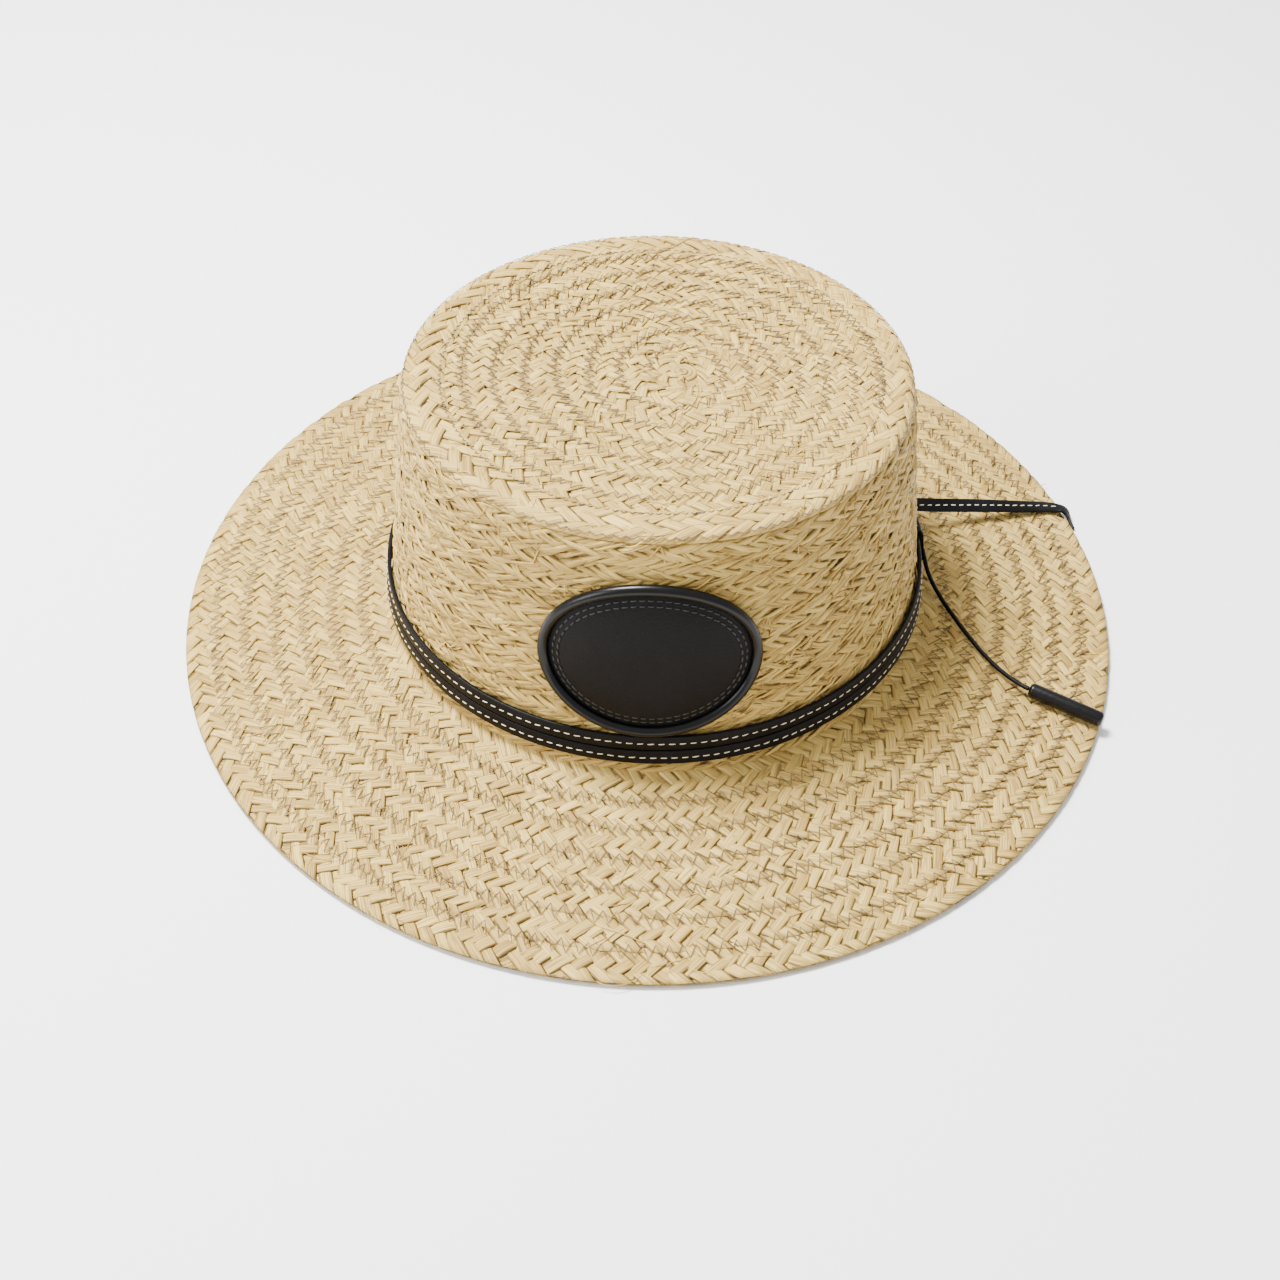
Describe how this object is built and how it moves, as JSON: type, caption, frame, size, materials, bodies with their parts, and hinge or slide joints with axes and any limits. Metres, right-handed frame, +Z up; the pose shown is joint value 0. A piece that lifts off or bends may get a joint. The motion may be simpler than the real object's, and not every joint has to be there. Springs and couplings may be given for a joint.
{
  "type": "flat crown raffia hat",
  "caption": "Woven raffia hat with a flat oval crown, a wide brim, a narrow stitched leather strap round the crown with loose ends, and a plain oval leather patch.",
  "frame": {"origin": "on the surface that the hat rests on, under the middle of its brim", "axes": "+Z up through the crown, -Y towards the front with the patch, +X towards the side with the loose strap and lace"},
  "size_m": [0.3132, 0.3466, 0.0963],
  "materials": {
    "raffia": "natural plaited raffia, matt with a slight sheen along the fibres",
    "strap_leather": "smooth black leather with a cream centre stitch",
    "lace_leather": "satin black leather",
    "patch_leather": "fine grained black leather with a glossy rolled edge and black stitching"
  },
  "bodies": {
    "root": {"crown": "raffia", "brim": "raffia", "band_lower": "strap_leather", "band_upper": "strap_leather", "keeper": "strap_leather", "strap_tail": "strap_leather", "lace_cord": "lace_leather", "cord_tip": "lace_leather", "patch_panel": "patch_leather", "patch_piping": "patch_leather"}
  },
  "joints": []
}
